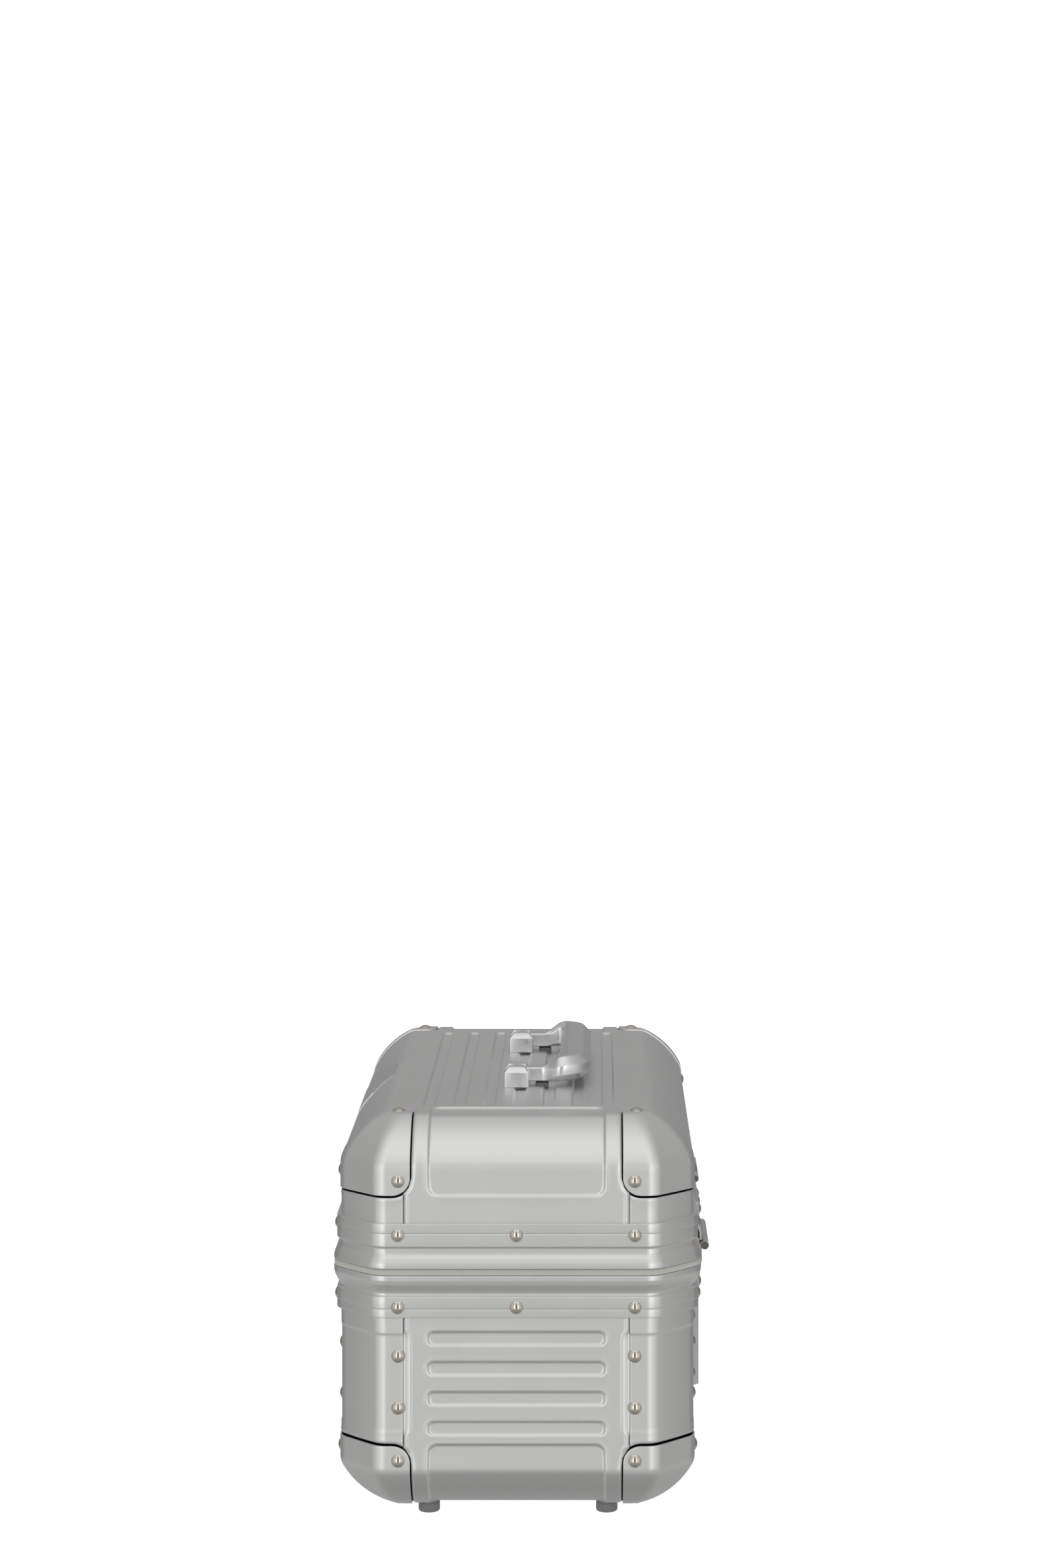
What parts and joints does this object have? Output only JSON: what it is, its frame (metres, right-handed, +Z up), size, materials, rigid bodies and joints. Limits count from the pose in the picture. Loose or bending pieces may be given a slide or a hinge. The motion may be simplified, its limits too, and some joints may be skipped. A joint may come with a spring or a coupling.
{
  "type": "hard-shell vanity case",
  "caption": "Hard-sided metal vanity case: deep base and hinged lid of ribbed sheet, riveted corner caps, folding top handle, front lock and rubber feet.",
  "frame": {"origin": "on the ground under the middle of the case (bottom centre of the bounding box)", "axes": "+X along the length of the case, -Y towards the front with the lock, +Z up"},
  "size_m": [0.4298, 0.2598, 0.292],
  "materials": {
    "satin_aluminium": "satin anodised, bead blasted",
    "machined_aluminium": "machined and clear anodised",
    "polished_steel": "polished nickel",
    "plain_steel": "zinc plated",
    "hinge_steel": "satin nickel",
    "gasket": "matt",
    "foot_rubber": "matt",
    "lining": "woven",
    "dial": "satin"
  },
  "bodies": {
    "base": {"base_shell": "satin_aluminium", "base_guard_front_left": "satin_aluminium", "base_guard_front_right": "satin_aluminium", "base_guard_back_left": "satin_aluminium", "base_guard_back_right": "satin_aluminium", "base_cap_front_left": "satin_aluminium", "base_cap_front_right": "satin_aluminium", "base_cap_back_left": "satin_aluminium", "base_cap_back_right": "satin_aluminium", "base_frame": "satin_aluminium", "gasket": "gasket", "base_rivets": "polished_steel", "feet": "foot_rubber", "foot_screws": "polished_steel", "base_lining": "lining", "hinge_base_leaf_left": "hinge_steel", "hinge_base_leaf_right": "hinge_steel", "hinge_pin_left": "polished_steel", "hinge_pin_right": "polished_steel", "hinge_base_rivets": "polished_steel", "lock_housing": "machined_aluminium", "dial_axle": "plain_steel", "trolley_sleeve": "satin_aluminium", "sleeve_rivets": "polished_steel"},
    "lid": {"lid_shell": "satin_aluminium", "lid_guards": "satin_aluminium", "lid_cap_front_left": "satin_aluminium", "lid_cap_front_right": "satin_aluminium", "lid_cap_back_left": "satin_aluminium", "lid_cap_back_right": "satin_aluminium", "lid_frame": "satin_aluminium", "lid_rivets": "polished_steel", "lid_lining": "lining", "hinge_lid_leaf_left": "hinge_steel", "hinge_lid_leaf_right": "hinge_steel", "hinge_lid_rivets": "polished_steel", "lock_hasp": "machined_aluminium", "hasp_rivets": "polished_steel", "name_plate": "machined_aluminium", "handle_block_left_outer": "machined_aluminium", "handle_block_left_inner": "machined_aluminium", "handle_block_right_inner": "machined_aluminium", "handle_block_right_outer": "machined_aluminium", "handle_pin_left": "polished_steel", "handle_pin_right": "polished_steel", "handle_plate": "plain_steel", "handle_screws": "polished_steel"},
    "handle_grip": {"handle_grip": "machined_aluminium"},
    "lock_slide": {"lock_slide": "machined_aluminium"},
    "dial_1": {"dial_1": "dial"},
    "dial_2": {"dial_2": "dial"},
    "dial_3": {"dial_3": "dial"}
  },
  "joints": [
    {"name": "lid_hinge", "type": "hinge", "parent": "base", "child": "lid", "pos_m": [0, 0.127, 0.1742], "axis": [-1, 0, 0], "range_deg": [0, 100]},
    {"name": "handle_pivot", "type": "hinge", "parent": "lid", "child": "handle_grip", "pos_m": [0, 0.001, 0.2792], "axis": [1, 0, 0], "range_deg": [0, 95]},
    {"name": "lock_slide", "type": "slide", "parent": "base", "child": "lock_slide", "axis": [1, 0, 0], "range_m": [0, 0.004], "stiffness_N_per_m": 200},
    {"name": "dial_1_turn", "type": "hinge", "parent": "base", "child": "dial_1", "pos_m": [-0.009, -0.1244, 0.119], "axis": [1, 0, 0], "continuous": true},
    {"name": "dial_2_turn", "type": "hinge", "parent": "base", "child": "dial_2", "pos_m": [0, -0.1244, 0.119], "axis": [1, 0, 0], "continuous": true},
    {"name": "dial_3_turn", "type": "hinge", "parent": "base", "child": "dial_3", "pos_m": [0.009, -0.1244, 0.119], "axis": [1, 0, 0], "continuous": true}
  ]
}
